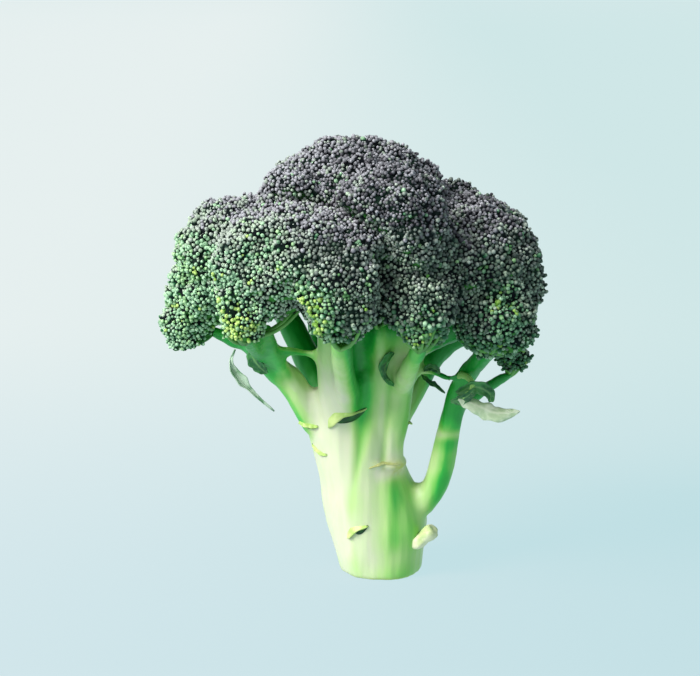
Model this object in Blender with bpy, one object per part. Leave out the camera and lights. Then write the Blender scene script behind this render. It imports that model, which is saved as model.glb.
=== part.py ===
"""A whole broccoli head that stands on its cut stalk.

The origin is the centre of the cut face under the stalk, +Z runs up the
stalk, +X to the side shoot and -Y to the front. One named solid for each
floret, stem, leaf and leaf base. Sizes below are millimetres.
"""
import math

import bmesh
import bpy
from mathutils import Matrix, Vector
from mathutils.bvhtree import BVHTree

MM = 0.001
GAP = 0.35              # clearance between neighbouring solids
BALL_LEVEL = 3          # subdivisions of the ball that a floret starts as
STEM_SIDES = 10
STEM_STEP = 7.0         # length of stem between two rings
STEM_TAPER = 1.3        # a stem reaches its end width at one part in this of its length
STALK_SIDES = 28
STALK_FLUTES = 5        # shallow grooves round the stalk
FLUTE_DEPTH = 0.035     # depth of a groove, as a share of the radius
FLUTE_TURN = 0.9        # turns the grooves round the stalk, in radians
FLUTE_FADE = 12.0       # the grooves fade out over this height above the cut face
BASE_ROUND = 1.6        # rounded rim of the cut face
BASE_RINGS = [(0.0, 1.0), (0.3, 0.3), (1.0, 0.0)]   # its rings' height and inset, as shares of it
LEAF_THICK = 0.9
LEAF_FOLD = 0.25        # rise of a blade's edges, as a share of its half width

# Height, centre X, centre Y, half width X, half width Y
STALK = [
    (0.0, 0.0, 0.0, 17.8, 17.4),
    (11.0, -0.8, 0.0, 19.8, 18.6),
    (22.0, -2.0, 0.0, 22.0, 19.6),
    (30.0, -3.6, 0.0, 21.8, 19.6),
    (38.0, -5.8, 0.0, 20.2, 19.2),
    (49.0, -9.6, 0.0, 19.2, 18.6),
    (62.0, -11.8, 0.0, 19.8, 18.6),
    (74.0, -12.6, 0.0, 18.4, 18.0),
]

# Floret: centre X, Y, Z, radius X, Y, Z, height of its lower rim
FLORETS = {
    "floret_crown": (-12, 5, 156, 43, 42, 35, 128),
    "floret_crown_left": (-35, -22, 164, 19, 19, 19, 150),
    "floret_crown_back": (-6, 32, 158, 30, 28, 25, 140),
    "floret_upper_front": (2, -45, 158, 28, 26, 27, 137),
    "floret_front_left": (-49, -48, 142, 24.5, 25, 26, 119),
    "floret_front_left_low": (-56, -58, 124, 13, 13, 13, 114),
    "floret_front_centre": (-18, -60, 136, 21.5, 22, 25, 113),
    "floret_front_right": (14, -57, 126, 16, 15, 17, 111),
    "floret_right": (43, -21, 137.5, 25, 26, 27, 114),
    "floret_right_low": (45, -37, 118, 16, 15, 16, 105),
    "floret_right_back": (56, 9, 122, 15, 17, 17, 109),
    "floret_right_small": (56, 12, 93, 9, 9, 9, 86),
    "floret_upper_right": (27, 22, 151, 20, 23, 20, 137),
    "floret_left": (-64, -6, 141, 24.5, 26, 26, 118),
    "floret_left_low": (-84, -2, 110.5, 12, 14, 14.5, 99),
    "floret_left_back": (-50, 38, 135, 27, 27, 27, 113),
    "floret_back": (-8, 58, 140, 28, 27, 27, 117),
    "floret_right_rear": (41, 42, 136, 27, 26, 26, 114),
    "floret_back_low_left": (-30, 66, 115, 17, 16, 16, 102),
    "floret_back_low_right": (18, 66, 112, 17, 16, 16, 99),
}

# Stem: half width at its start and end, then the points it grows through
STEMS = {
    "centre_branch": (15.2, 12.0, [(-12, -1, 56), (-12.5, -2, 86), (-13, 0, 105), (-12, 3, 127)]),
    "left_branch": (7.0, 5.2, [(-18, 0, 50), (-30.5, -4, 71.5), (-40, -6, 86.5), (-52, -9, 98.5), (-62, -7, 117)]),
    "right_branch": (6.8, 5.6, [(0, -6, 48), (4.8, -10, 69), (7.3, -12, 86), (10, -13, 100), (32, -18, 113)]),
    "side_shoot": (6.2, 3.8, [(10, -3, 23), (21.5, -6, 37), (25.3, -7, 47), (28, -8, 62),
                              (31, -11, 78), (36, -18, 92), (43, -32, 104)]),
    "back_right_branch": (6.4, 4.6, [(0, 4, 56), (14.5, 8, 80), (27, 12, 98), (50, 9, 108)]),
    "back_left_branch": (7.6, 5.2, [(-16, 6, 56), (-29, 22, 82), (-45, 36, 112)]),
    "back_branch": (7.6, 5.2, [(-10, 8, 56), (-9, 30, 84), (-8, 52, 116)]),
    "rear_branch": (6.8, 5.0, [(-4, 8, 58), (14, 26, 84), (34, 38, 113)]),
    "front_left_stem": (5.2, 4.2, [(-18, -8, 82), (-23, -17, 102), (-34, -31, 114), (-44, -42, 119)]),
    "front_centre_stem": (6.8, 4.8, [(-12, -8, 72), (-15, -32, 93), (-17, -54, 112)]),
    "front_right_stem": (4.0, 3.2, [(8, -14, 84), (11, -36, 98), (14, -53, 110)]),
    "front_left_low_stem": (3.2, 2.6, [(-49, -10, 95), (-53, -30, 105), (-55, -50, 113)]),
    "left_low_stem": (3.2, 2.6, [(-46, -8, 94), (-60, -6, 102.5), (-73, -3, 107)]),
    "shoot_twig": (2.6, 2.2, [(30, -10, 73), (43, 0, 80), (55, 11, 85)]),
    "back_low_left_stem": (3.6, 3.0, [(-26, 20, 77), (-29, 44, 89), (-30, 62, 101)]),
    "back_low_right_stem": (3.6, 3.0, [(-4, 22, 75), (8, 42, 85), (16, 62, 98)]),
    "left_twig": (1.3, 1.0, [(-22, -10, 97), (-39, -22, 102.5), (-54, -26, 105), (-64, -25, 105), (-71, -19, 104)]),
    "right_twig": (1.2, 0.9, [(15.6, -14.5, 92), (21, -18, 92.5), (28, -22, 90.5)]),
    "leaf_stalk": (1.7, 1.2, [(31, -12, 86), (33, -22, 92.5), (37, -30, 91.5), (37, -33, 87.5), (34, -33, 85.5)]),
}

# Leaf: half width at its middle, the way its upper side faces, then the points of its midrib
LEAVES = {
    "side_leaf": (4.8, (0.25, -0.35, 1.0), [(31, -33, 82), (38, -34.5, 81.5), (48, -36, 80.5), (57, -36, 79)]),
    "hanging_leaf": (1.9, (0.6, -0.6, 0.5), [(-63, -27, 103), (-64.4, -28, 97), (-60, -29, 90),
                                             (-51, -30, 83), (-44.4, -30, 78)]),
    "right_bract": (2.2, (0.2, -1.0, 0.0), [(5, -19.6, 85), (1.2, -20.4, 90), (1.5, -21.5, 100)]),
    "left_bract": (2.0, (-0.5, -0.8, 0.3), [(-50, -17, 92), (-54.6, -18, 98), (-54, -18, 104)]),
    "twig_leaflet": (1.8, (0.2, -0.4, 1.0), [(18.6, -24, 89.5), (22, -26, 88), (26, -28, 85.5)]),
}

# Leaf base left on the stalk: centre, half length, half height, half depth, turn about Z, rise in degrees
LEAF_BASES = {
    "front_leaf_base": ((-14, -18.4, 72), 10.5, 3.0, 3.0, 0, 17),
    "low_leaf_base": ((-12.8, -15.6, 21.5), 7.0, 2.4, 2.6, -30, 28),
    "left_leaf_base": ((-28.0, -7.0, 52.5), 4.2, 1.6, 2.2, -62, -6),
    "right_leaf_stub": ((18.2, -9.6, 18.5), 5.6, 6.6, 4.6, 48, -24),
    "ring_leaf_base": ((2.2, -16.6, 50.2), 8.0, 1.7, 2.4, 16, 0),
}

COLOURS = {
    "stalk": ((0.60, 0.73, 0.36), 0.45),
    "stem": ((0.20, 0.46, 0.12), 0.45),
    "buds": ((0.035, 0.075, 0.045), 0.8),
    "leaf": ((0.24, 0.38, 0.20), 0.6),
    "leaf_base": ((0.55, 0.66, 0.33), 0.6),
}


def clear_scene():
    for item in list(bpy.data.objects):
        bpy.data.objects.remove(item, do_unlink=True)


def make_material(name):
    colour, roughness = COLOURS[name]
    material = bpy.data.materials.new(name)
    material.use_nodes = True
    shader = material.node_tree.nodes["Principled BSDF"]
    shader.inputs["Base Color"].default_value = (*colour, 1.0)
    shader.inputs["Roughness"].default_value = roughness
    shader.inputs["Metallic"].default_value = 0.0
    return material


def to_object(name, bm):
    """Turns a bmesh in millimetres into an object in metres, with its faces pointing out."""
    bmesh.ops.recalc_face_normals(bm, faces=bm.faces)
    if bm.calc_volume(signed=True) < 0:
        bmesh.ops.reverse_faces(bm, faces=bm.faces)
    bmesh.ops.scale(bm, vec=(MM, MM, MM), verts=bm.verts)
    mesh = bpy.data.meshes.new(name)
    bm.to_mesh(mesh)
    bm.free()
    item = bpy.data.objects.new(name, mesh)
    bpy.context.collection.objects.link(item)
    return item


def finish(item, material):
    item.data.materials.clear()
    item.data.materials.append(material)
    item.data.shade_smooth()
    item.data.set_sharp_from_angle(angle=math.radians(50))


def smooth_route(points, step=STEM_STEP):
    """Points of a Catmull-Rom curve through the given ones, about a step apart."""
    ends = [points[0] * 2 - points[1], *points, points[-1] * 2 - points[-2]]
    route = []
    for a, b, c, d in zip(ends, ends[1:], ends[2:], ends[3:]):
        count = max(2, round((c - b).length / step))
        for i in range(count):
            t = i / count
            route.append(0.5 * (2 * b + (c - a) * t + (2 * a - 5 * b + 4 * c - d) * t ** 2
                                + (3 * b - a - 3 * c + d) * t ** 3))
    return route + [points[-1]]


def join_rings(bm, rings):
    """Walls between rings of the same number of points."""
    for low, high in zip(rings, rings[1:]):
        for i in range(len(low)):
            bm.faces.new((low[i - 1], low[i], high[i], high[i - 1]))


def stem(route, start, end, grow=0.0):
    """A tapered round stem that runs on past its last point, for a floret or the stalk to cut."""
    points = [Vector(p) for p in route]
    points.append(points[-1] + (points[-1] - points[-2]).normalized() * end)
    points = smooth_route(points)
    if grow:
        points[0] = points[0] - (points[1] - points[0]).normalized() * grow
        points[-1] = points[-1] + (points[-1] - points[-2]).normalized() * grow
    bm = bmesh.new()
    turn = Vector((0, 0, 1)).rotation_difference(points[1] - points[0])
    before, loops = points[1] - points[0], []
    for i, place in enumerate(points):
        ahead = points[min(i + 1, len(points) - 1)] - points[max(i - 1, 0)]
        turn = before.rotation_difference(ahead) @ turn
        before = ahead
        share = i / (len(points) - 1)
        radius = start + (end - start) * min(1.0, share * STEM_TAPER) + grow
        ring = bmesh.ops.create_circle(
            bm, cap_ends=i in (0, len(points) - 1), segments=STEM_SIDES, radius=radius,
            matrix=Matrix.Translation(place) @ turn.to_matrix().to_4x4())
        loops.append(ring["verts"])
    join_rings(bm, loops)
    return bm


def stalk(grow=0.0):
    """The fluted main stalk, with a flat cut face and a rounded rim under it."""
    _, x, y, wide, deep = STALK[0]
    rings = [(BASE_ROUND * rise, x, y, wide - BASE_ROUND * inset, deep - BASE_ROUND * inset)
             for rise, inset in BASE_RINGS]
    rings += STALK[1:]
    bm = bmesh.new()
    loops = []
    for i, (height, x, y, wide, deep) in enumerate(rings):
        is_end = i in (0, len(rings) - 1)
        height += grow * ((i == len(rings) - 1) - (i == 0))
        ring = bmesh.ops.create_circle(
            bm, cap_ends=is_end, segments=STALK_SIDES, radius=1.0,
            matrix=Matrix.Translation((x, y, height)))
        rise = min(1.0, height / FLUTE_FADE)
        for v in ring["verts"]:
            angle = math.atan2(v.co.y - y, v.co.x - x)
            flute = 1 - FLUTE_DEPTH * rise * (0.5 + 0.5 * math.cos(STALK_FLUTES * angle + FLUTE_TURN))
            v.co.x = x + math.cos(angle) * (wide * flute + grow)
            v.co.y = y + math.sin(angle) * (deep * flute + grow)
        loops.append(ring["verts"])
    join_rings(bm, loops)
    return bm


def reach(radii, way):
    """Distance from an ellipsoid's centre to its surface along a unit vector."""
    return 1 / math.sqrt(sum((w / r) ** 2 for w, r in zip(way, radii)))


def cut_off(bm, point, outward):
    """Removes what lies past a plane and closes the cut."""
    cut = bmesh.ops.bisect_plane(
        bm, geom=bm.verts[:] + bm.edges[:] + bm.faces[:], dist=1e-4,
        plane_co=point, plane_no=outward, clear_outer=True)
    rim = [g for g in cut["geom_cut"] if isinstance(g, bmesh.types.BMEdge)]
    if rim:
        bmesh.ops.holes_fill(bm, edges=rim)


def ball(name, grow=0.0):
    """A floret's ball, cut level at its lower rim."""
    x, y, z, *radii, rim = FLORETS[name]
    bm = bmesh.new()
    bmesh.ops.create_icosphere(bm, subdivisions=BALL_LEVEL, radius=1.0)
    bmesh.ops.scale(bm, vec=[r + grow for r in radii], verts=bm.verts)
    bmesh.ops.translate(bm, vec=(x, y, z), verts=bm.verts)
    cut_off(bm, Vector((x, y, rim - grow)), Vector((0, 0, -1)))
    return bm


def floret(name):
    """A domed cluster of buds, with a flat side where the next cluster presses on it."""
    x, y, z, *radii, _ = FLORETS[name]
    centre = Vector((x, y, z))
    bm = ball(name)
    for other, (ox, oy, oz, *other_radii, _) in FLORETS.items():
        if other == name:
            continue
        way = Vector((ox, oy, oz)) - centre
        apart = way.length
        way.normalize()
        mine, theirs = reach(radii, way), reach(other_radii, way)
        if apart > mine + theirs:
            continue
        along = (apart ** 2 + mine ** 2 - theirs ** 2) / (2 * apart)
        cut_off(bm, centre + way * (along - GAP / 2), way)
    bmesh.ops.dissolve_limit(bm, angle_limit=math.radians(1), verts=bm.verts, edges=bm.edges)
    bmesh.ops.triangulate(bm, faces=bm.faces)
    return bm


def leaf(half_width, facing, midrib):
    """A thin pointed blade along its midrib, folded a little along it."""
    points = smooth_route([Vector(p) for p in midrib], step=3.0)
    bm = bmesh.new()
    rows = []
    for i, place in enumerate(points):
        along = points[min(i + 1, len(points) - 1)] - points[max(i - 1, 0)]
        across = along.cross(Vector(facing)).normalized()
        out = across.cross(along).normalized()
        share = i / (len(points) - 1)
        half = half_width * max(0.12, math.sin(math.pi * (0.08 + 0.86 * share)))
        rows.append([bm.verts.new(place + across * half * s + out * abs(s) * half * LEAF_FOLD) for s in (-1, 0, 1)])
    for low, high in zip(rows, rows[1:]):
        for s in (0, 1):
            bm.faces.new((low[s], low[s + 1], high[s + 1], high[s]))
    bm.normal_update()
    bmesh.ops.solidify(bm, geom=bm.faces[:], thickness=LEAF_THICK)
    return bm


def leaf_base(centre, length, height, depth, turn, rise):
    """A rounded lump where a leaf was cut from the stalk."""
    bm = bmesh.new()
    bmesh.ops.create_icosphere(bm, subdivisions=2, radius=1.0)
    place = (Matrix.Translation(centre) @ Matrix.Rotation(math.radians(turn), 4, "Z")
             @ Matrix.Rotation(math.radians(-rise), 4, "Y") @ Matrix.Diagonal((length, depth, height, 1)))
    bmesh.ops.transform(bm, matrix=place, verts=bm.verts)
    return bm


def subtract(item, tools):
    """Cuts each tool out of an object and keeps the largest body that is left."""
    for tool in tools:
        cut = item.modifiers.new(tool.name, "BOOLEAN")
        cut.operation = "DIFFERENCE"
        cut.solver = "EXACT"
        cut.object = tool
    graph = bpy.context.evaluated_depsgraph_get()
    mesh = bpy.data.meshes.new_from_object(item.evaluated_get(graph))
    item.modifiers.clear()
    item.data = mesh
    keep_largest(mesh)


def enclosed(body):
    """Volume inside the faces round a set of vertices; a hollow's faces give a negative one."""
    faces = {f for v in body for f in v.link_faces}
    return sum(f.calc_center_median().dot(f.normal) * f.calc_area() for f in faces) / 3


def keep_largest(mesh):
    """Leaves only the body that encloses the most."""
    bm = bmesh.new()
    bm.from_mesh(mesh)
    bodies, seen = [], set()
    for first in bm.verts:
        if first in seen:
            continue
        body, queue = set(), [first]
        while queue:
            v = queue.pop()
            if v not in body:
                body.add(v)
                queue += [e.other_vert(v) for e in v.link_edges]
        seen |= body
        bodies.append(body)
    bodies.sort(key=enclosed, reverse=True)
    bmesh.ops.delete(bm, geom=[v for body in bodies[1:] for v in body], context="VERTS")
    bm.to_mesh(mesh)
    bm.free()


def meet(one, two):
    """True if the surfaces of two objects cross."""
    trees = [BVHTree.FromPolygons([v.co for v in item.data.vertices], [p.vertices for p in item.data.polygons])
             for item in (one, two)]
    return bool(trees[0].overlap(trees[1]))


def build():
    clear_scene()
    materials = {name: make_material(name) for name in COLOURS}
    finish(to_object("main_stalk", stalk()), materials["stalk"])
    for name in FLORETS:
        finish(to_object(name, floret(name)), materials["buds"])
    cutters = [to_object("cutter_main_stalk", stalk(GAP))]
    cutters += [to_object("cutter_" + name, ball(name, GAP)) for name in FLORETS]
    for name, (start, end, route) in STEMS.items():
        item = to_object(name, stem(route, start, end))
        subtract(item, [c for c in cutters if meet(item, c)])
        finish(item, materials["stem"])
        cutters.append(to_object("cutter_" + name, stem(route, start, end, GAP)))
    for name, shape in LEAVES.items():
        item = to_object(name, leaf(*shape))
        subtract(item, [c for c in cutters if meet(item, c)])
        finish(item, materials["leaf"])
    for name, shape in LEAF_BASES.items():
        item = to_object(name, leaf_base(*shape))
        subtract(item, [c for c in cutters if meet(item, c)])
        finish(item, materials["leaf_base"])
    for cutter in cutters:
        bpy.data.objects.remove(cutter, do_unlink=True)


build()
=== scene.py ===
import math
import random

import bmesh
import bpy
import numpy as np
from mathutils import Matrix, Quaternion, Vector, noise
from mathutils.bvhtree import BVHTree
from mathutils.kdtree import KDTree


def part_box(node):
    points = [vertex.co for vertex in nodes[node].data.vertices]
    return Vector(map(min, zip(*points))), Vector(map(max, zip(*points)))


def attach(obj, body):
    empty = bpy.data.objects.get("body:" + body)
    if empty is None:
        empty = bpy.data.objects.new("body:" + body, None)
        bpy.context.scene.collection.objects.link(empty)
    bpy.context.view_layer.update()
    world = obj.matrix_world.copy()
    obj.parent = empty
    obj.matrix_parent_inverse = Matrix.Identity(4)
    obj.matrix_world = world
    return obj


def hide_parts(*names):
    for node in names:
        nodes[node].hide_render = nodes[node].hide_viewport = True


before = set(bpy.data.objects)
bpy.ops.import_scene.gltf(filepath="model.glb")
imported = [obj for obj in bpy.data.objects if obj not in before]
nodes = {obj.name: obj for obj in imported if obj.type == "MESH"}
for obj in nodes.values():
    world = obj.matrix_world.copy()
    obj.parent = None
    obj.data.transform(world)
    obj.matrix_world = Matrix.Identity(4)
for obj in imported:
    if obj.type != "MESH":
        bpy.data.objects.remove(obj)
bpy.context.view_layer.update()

mm = 0.001
floretNames = sorted(n for n in nodes if n.startswith("floret_"))


# helpers shared by the pieces

def linked(name, data):
    thing = bpy.data.objects.new(name, data)
    bpy.context.collection.objects.link(thing)
    return thing


def fromMesh(name, bm):
    thing = linked(name, bpy.data.meshes.new(name))
    bm.to_mesh(thing.data)
    bm.free()
    return thing


def setValues(mesh, label, values):
    mesh.attributes.new(label, "FLOAT", "POINT").data.foreach_set("value", values)


def treeOf(bm):
    tree = BVHTree.FromBMesh(bm)
    bm.free()
    return tree


def pieceDone(thing, look, slot, *names):
    thing.data.shade_smooth()
    thing.data.materials.clear()
    thing.data.materials.append(look)
    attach(thing, "root")
    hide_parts(*names)


def applied(thing):
    graph = bpy.context.evaluated_depsgraph_get()
    mesh = bpy.data.meshes.new_from_object(thing.evaluated_get(graph))
    thing.modifiers.clear()
    old = thing.data
    thing.data = mesh
    if isinstance(old, bpy.types.Mesh) and old.users == 0:
        bpy.data.meshes.remove(old)
    return mesh


def smoothStep(low, high, x):
    t = min(1.0, max(0.0, (x - low) / (high - low)))
    return t * t * (3 - 2 * t)


def between(span, part):
    least, more = span
    return least + more * part


def parts(book, *keys):
    return [book[key] for key in keys]


def bell(x, centre, width):
    return math.exp(-((x - centre) / width) ** 2)


def cadMesh(names, grow=0.0):
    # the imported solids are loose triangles, so a copy is merged before it is shaped
    bm = bmesh.new()
    for name in names:
        bm.from_mesh(nodes[name].data)
    bmesh.ops.remove_doubles(bm, verts=bm.verts, dist=0.01 * mm)
    if grow:
        bm.normal_update()
        for v in bm.verts:
            v.co += v.normal * grow
    return bm


# materials

def newMaterial(name):
    mat = bpy.data.materials.new(name)
    mat.use_nodes = True
    tree = mat.node_tree
    return mat, tree, tree.nodes["Principled BSDF"]


def attribute(tree, name, output="Fac"):
    node = tree.nodes.new("ShaderNodeAttribute")
    node.attribute_name = name
    return node.outputs[output]


def ramp(tree, source, stops, ease="EASE"):
    node = tree.nodes.new("ShaderNodeValToRGB")
    node.color_ramp.interpolation = ease
    points = node.color_ramp.elements
    while len(points) < len(stops):
        points.new(0.5)
    for point, (place, colour) in zip(points, stops):
        point.position = place
        point.color = (*colour, 1.0)
    tree.links.new(source, node.inputs["Fac"])
    return node.outputs["Color"]


def grey(value):
    return (value, value, value)


def climb(tree, source, low, high):
    # nothing below low, full above high
    return ramp(tree, source, [(low, grey(0.0)), (high, grey(1.0))])


def mixed(tree, factor, first, second, blend="MIX"):
    node = tree.nodes.new("ShaderNodeMix")
    node.data_type = "RGBA"
    node.blend_type = blend
    for socket, value in ((0, factor), (6, first), (7, second)):
        if isinstance(value, bpy.types.NodeSocket):
            tree.links.new(value, node.inputs[socket])
        elif socket == 0:
            node.inputs[0].default_value = value
        else:
            node.inputs[socket].default_value = (*value, 1.0)
    return node.outputs[2]


def maths(tree, operation, first, second=0.0):
    node = tree.nodes.new("ShaderNodeMath")
    node.operation = operation
    for socket, value in enumerate((first, second)):
        if isinstance(value, bpy.types.NodeSocket):
            tree.links.new(value, node.inputs[socket])
        else:
            node.inputs[socket].default_value = value
    return node.outputs[0]


def objectNoise(tree, scale, detail=3.0, stretch=(1, 1, 1)):
    place = tree.nodes.new("ShaderNodeTexCoord").outputs["Object"]
    mapping = tree.nodes.new("ShaderNodeMapping")
    mapping.inputs["Scale"].default_value = stretch
    tree.links.new(place, mapping.inputs["Vector"])
    node = tree.nodes.new("ShaderNodeTexNoise")
    node.inputs["Scale"].default_value = scale
    node.inputs["Detail"].default_value = detail
    tree.links.new(mapping.outputs["Vector"], node.inputs["Vector"])
    return node.outputs["Fac"]


def addBump(tree, shader, height, strength, distance):
    node = tree.nodes.new("ShaderNodeBump")
    node.inputs["Strength"].default_value = strength
    node.inputs["Distance"].default_value = distance
    tree.links.new(height, node.inputs["Height"])
    tree.links.new(node.outputs["Normal"], shader.inputs["Normal"])


def setFinish(tree, shader, colour, finish):
    tree.links.new(colour, shader.inputs["Base Color"])
    shader.inputs["Roughness"].default_value = finish["roughness"]
    shader.inputs["Specular IOR Level"].default_value = finish.get("specular", 0.5)


budPaint = {
    # from purple-grey on the crown, through sage, to fresh green and yellow-green buds
    # the near-black lower bodies stand partly for painted shade between the buds, the pale tips partly for
    # painted highlight
    "body": [(0.0, (0.013, 0.011, 0.018)), (0.35, (0.007, 0.026, 0.020)),
             (0.7, (0.018, 0.130, 0.050)), (1.0, (0.120, 0.300, 0.030))],
    "tip": [(0.0, (0.42, 0.42, 0.46)), (0.35, (0.49, 0.60, 0.46)),
            (0.7, (0.46, 0.74, 0.46)), (1.0, (0.58, 0.76, 0.24))],
    "wax": (0.40, 0.76),          # how far up a bud the pale tip begins, and where it is full: part wax, part painted highlight
    "leastWax": 0.15,             # what the darkest buds have of it
    "eye": (0.90, 0.97),          # the dark dimple at the tip of half the buds
    "roughness": 0.62,
    "specular": 0.22,
    "grain": 1800.0,
    "relief": (0.5, 0.25 * mm),   # strength and depth of the bump
}


def budMaterial():
    mat, tree, shader = newMaterial("bud skin")
    kind, tone = attribute(tree, "budKind"), attribute(tree, "budTone")
    tip, ring = attribute(tree, "budTip"), attribute(tree, "budRing")
    least = budPaint["leastWax"]
    share = maths(tree, "ADD", maths(tree, "MULTIPLY", tone, 1 - least), least)
    # the pale tips are part wax and part painted highlight; the near-black bodies below them are part painted
    # shade between buds
    wax = maths(tree, "MULTIPLY", climb(tree, tip, *budPaint["wax"]), share)
    eye = maths(tree, "MULTIPLY", climb(tree, tip, *budPaint["eye"]), ring)
    wax = maths(tree, "MULTIPLY", wax, maths(tree, "SUBTRACT", 1.0, eye))
    body = ramp(tree, kind, budPaint["body"])
    pale = ramp(tree, kind, budPaint["tip"])
    setFinish(tree, shader, mixed(tree, wax, body, pale), budPaint)
    addBump(tree, shader, objectNoise(tree, budPaint["grain"], 2.0), *budPaint["relief"])
    return mat


bedPaint = {
    "patches": 90.0,
    # near-black: painted shade in the gaps between the buds; the stem green underneath is real
    "colours": [(0.35, (0.006, 0.007, 0.010)), (0.65, (0.006, 0.018, 0.012))],
    "over": ("under", 1.0, (0.06, 0.25, 0.045)),   # stem green on the underside of the head
    "roughness": 0.9,
    "specular": 0.08,
}

stemletPaint = {
    "patches": 60.0,
    "colours": [(0.3, (0.035, 0.20, 0.030)), (0.7, (0.15, 0.42, 0.075))],
    "roughness": 0.5,
}


def patchyMaterial(name, paint):
    mat, tree, shader = newMaterial(name)
    colour = ramp(tree, objectNoise(tree, paint["patches"]), paint["colours"])
    if "over" in paint:
        label, strength, over = paint["over"]
        marks = attribute(tree, label)
        colour = mixed(tree, maths(tree, "MULTIPLY", marks, strength), colour, over)
        if "relief" in paint:
            addBump(tree, shader, marks, *paint["relief"])
    setFinish(tree, shader, colour, paint)
    return mat


stalkPaint = {
    "colours": [(0.0, (0.66, 0.69, 0.48)), (0.30, (0.48, 0.70, 0.26)), (0.55, (0.23, 0.60, 0.11)),
                (0.78, (0.035, 0.48, 0.05)), (1.0, (0.003, 0.31, 0.03))],
    "scar": (0.50, 0.55, 0.13),
    "streaks": (420.0, 2.0, (1, 1, 0.08)),    # scale, detail and stretch
    "blotches": (70.0, 3.0, (1, 1, 0.35)),
    "wander": 0.16,                           # how far these two shift the green
    "roughness": 0.42,
    "flesh": {"Weight": 0.12, "Radius": (0.5, 1.0, 0.25), "Scale": 3 * mm},
    "relief": (0.25, 0.3 * mm),
}


def stalkMaterial():
    mat, tree, shader = newMaterial("stalk skin")
    green = attribute(tree, "green")
    streaks = objectNoise(tree, *stalkPaint["streaks"])
    blotches = objectNoise(tree, *stalkPaint["blotches"])
    for pattern in (streaks, blotches):
        shift = maths(tree, "MULTIPLY", maths(tree, "SUBTRACT", pattern, 0.5), stalkPaint["wander"])
        green = maths(tree, "ADD", green, shift)
    colour = ramp(tree, green, stalkPaint["colours"], "LINEAR")
    colour = mixed(tree, attribute(tree, "scar"), colour, stalkPaint["scar"])
    setFinish(tree, shader, colour, stalkPaint)
    for part, value in stalkPaint["flesh"].items():
        shader.inputs["Subsurface " + part].default_value = value
    addBump(tree, shader, streaks, *stalkPaint["relief"])
    return mat


leafFinish = {"patches": 170.0, "roughness": 0.5, "relief": (0.4, 0.3 * mm)}


def leafMaterial(name, dark, pale, rib):
    colours = [(0.38, dark), (0.62, pale)]
    return patchyMaterial(name, {**leafFinish, "colours": colours, "over": ("vein", 0.7, rib)})


# the head: one knobbly core under all the buds

canopyShape = {
    "voxel": 1.3 * mm,
    "close": 3.0 * mm,             # gaps between lobes narrower than twice this are filled
    "stand": -0.5 * mm,            # the core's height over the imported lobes
    "smoothing": 5,
    "seam": (4.2 * mm, 2.6 * mm),  # depth and softness of the creases between lobes
    "filled": (1.05, 0.85),        # how far round a fill lobe the creases close, and how much
    "clusters": [(17 * mm, 3.4 * mm), (7.5 * mm, 2.3 * mm), (3.5 * mm, 1.6 * mm)],   # size and height
    "clusterRise": 3.5,            # how steeply a cluster rises from its edge
    "clusterSink": 0.7,            # how much of its height lies under the skin
    "under": (-0.45, -0.8),        # the slopes between which the bed turns to stem green
}


def clusterHeight(place):
    height = 0.0
    for size, rise in canopyShape["clusters"]:
        near, _ = noise.voronoi(place / size)
        edge = math.exp(-canopyShape["clusterRise"] * (near[1] - near[0]))
        height += rise * (1 - edge - canopyShape["clusterSink"])
    return height


# fuller flesh between neighbouring lobes: centre and radii in mm
fillLobes = {
    "left side": ((-74, -6, 126), (19.5, 18, 17)),
    "front left hem": ((-57, -57, 131), (15.5, 13, 17.5)),
    "front join": ((-33, -55, 148), (20, 21, 18)),
    "front right shoulder": ((24, -45, 141), (17, 14, 19)),
    "right hem": ((46, -30, 118), (20, 19, 18)),
    "left shoulder": ((-50, -2, 151), (20, 14, 18)),
    "right shoulder": ((36, 2, 148), (22, 22, 20)),
    "back middle": ((4, 44, 140), (26, 24, 22)),
    "back left": ((-58, 22, 128), (20, 20, 18)),
    "back right": ((54, 22, 126), (16, 20, 17)),
    "back low": ((-6, 62, 122), (26, 16, 14)),
}


# valleys and clefts between lobes: centre and radii in mm, depth
dents = {
    "front valley": ((3, -66, 135), (5.5, 16, 20), 5.0 * mm),
    "front hem": ((-38, -76, 116), (7, 14, 7), 5.0 * mm),
    "front cleft": ((-37, -72, 124), (5.5, 14, 8), 6.0 * mm),
    "left valley": ((-68, -44, 140), (7, 16, 26), 4.0 * mm),
    "right valley": ((30, -52, 150), (7, 14, 12), 3.0 * mm),
}


# the crease round the broad front lobe and the swell inside it, in mm across and up
frontLobe = {
    "centre": (-36, 142),
    "half": (37, 26.5),
    "crease": (6.5 * mm, 1.09, 0.09),   # depth, then place and width in parts of the half size
    "swell": (2.6 * mm, 0.82, 0.15),
    "near": (-18, -34),                 # they come in over this depth and this height
    "above": (134, 148),
}


def frontLobeHeight(place):
    x, y, z = place / mm
    (cx, cz), (wide, tall) = frontLobe["centre"], frontLobe["half"]
    out = math.hypot((x - cx) / wide, (z - cz) / tall)
    front = smoothStep(*frontLobe["near"], y) * smoothStep(*frontLobe["above"], z)
    crease, swell = (size * bell(out, centre, width)
                     for size, centre, width in (frontLobe["crease"], frontLobe["swell"]))
    return front * (swell - crease)


def partsApart(place, centre, radii):
    # the distance between two places, in parts of the radii
    return math.dist([c / r for c, r in zip(place / mm, radii)], [c / r for c, r in zip(centre, radii)])


def dentDepth(place):
    deep = 0.0
    for centre, radii, depth in dents.values():
        deep += depth * bell(partsApart(place, centre, radii), 0, 1.0)
    return -deep


def addFillLobes(bm, close):
    for centre, radii in fillLobes.values():
        size = Matrix.Diagonal([r * mm + close for r in radii] + [1.0])
        bmesh.ops.create_icosphere(bm, subdivisions=4, radius=1.0,
                                   matrix=Matrix.Translation(Vector(centre) * mm) @ size)


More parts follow.
